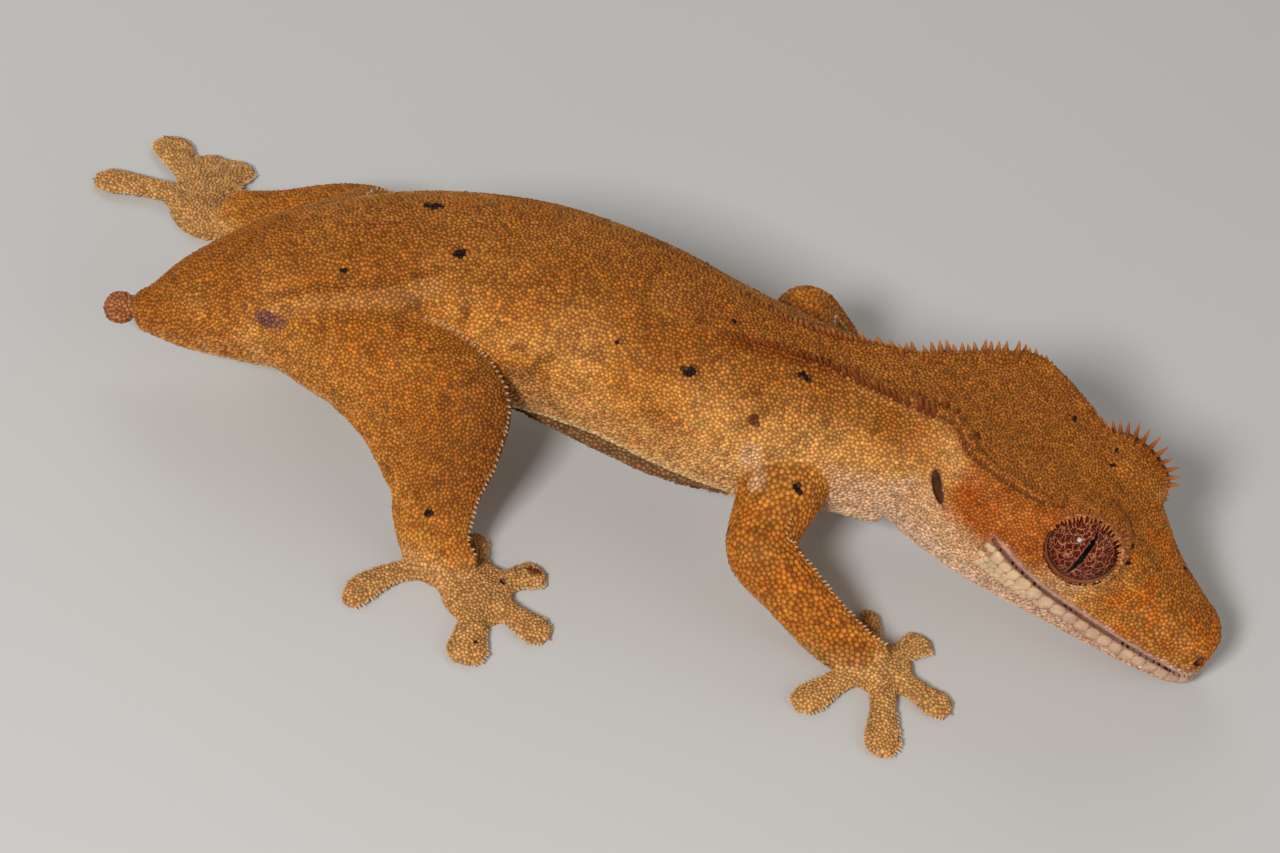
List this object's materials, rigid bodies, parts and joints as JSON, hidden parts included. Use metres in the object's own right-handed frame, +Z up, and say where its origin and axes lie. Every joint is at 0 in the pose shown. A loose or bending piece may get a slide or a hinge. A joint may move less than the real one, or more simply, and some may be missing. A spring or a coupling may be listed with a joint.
{
  "type": "crested gecko",
  "caption": "Life-size crested gecko in mid stride, tail lost to a short bulb-tipped stump, head turned down and to its right.",
  "frame": {"origin": "on the floor under the middle of the animal's bounding box", "axes": "+X ahead along the trunk, towards the head; +Y to the animal's left; +Z up"},
  "size_m": [0.1238, 0.0652, 0.0262],
  "materials": {
    "skin": "matte granular scales",
    "bulb": "soft healed skin",
    "eye": "wet and glossy"
  },
  "bodies": {
    "root": {"head": "skin", "eye_left": "eye", "eye_right": "eye", "neck": "skin", "torso": "skin", "tail": "skin", "tail_bulb": "bulb", "arm_left": "skin", "forearm_left": "skin", "hand_left": "skin", "arm_right": "skin", "forearm_right": "skin", "hand_right": "skin", "thigh_left": "skin", "shin_left": "skin", "foot_left": "skin", "thigh_right": "skin", "shin_right": "skin", "foot_right": "skin"}
  },
  "joints": []
}
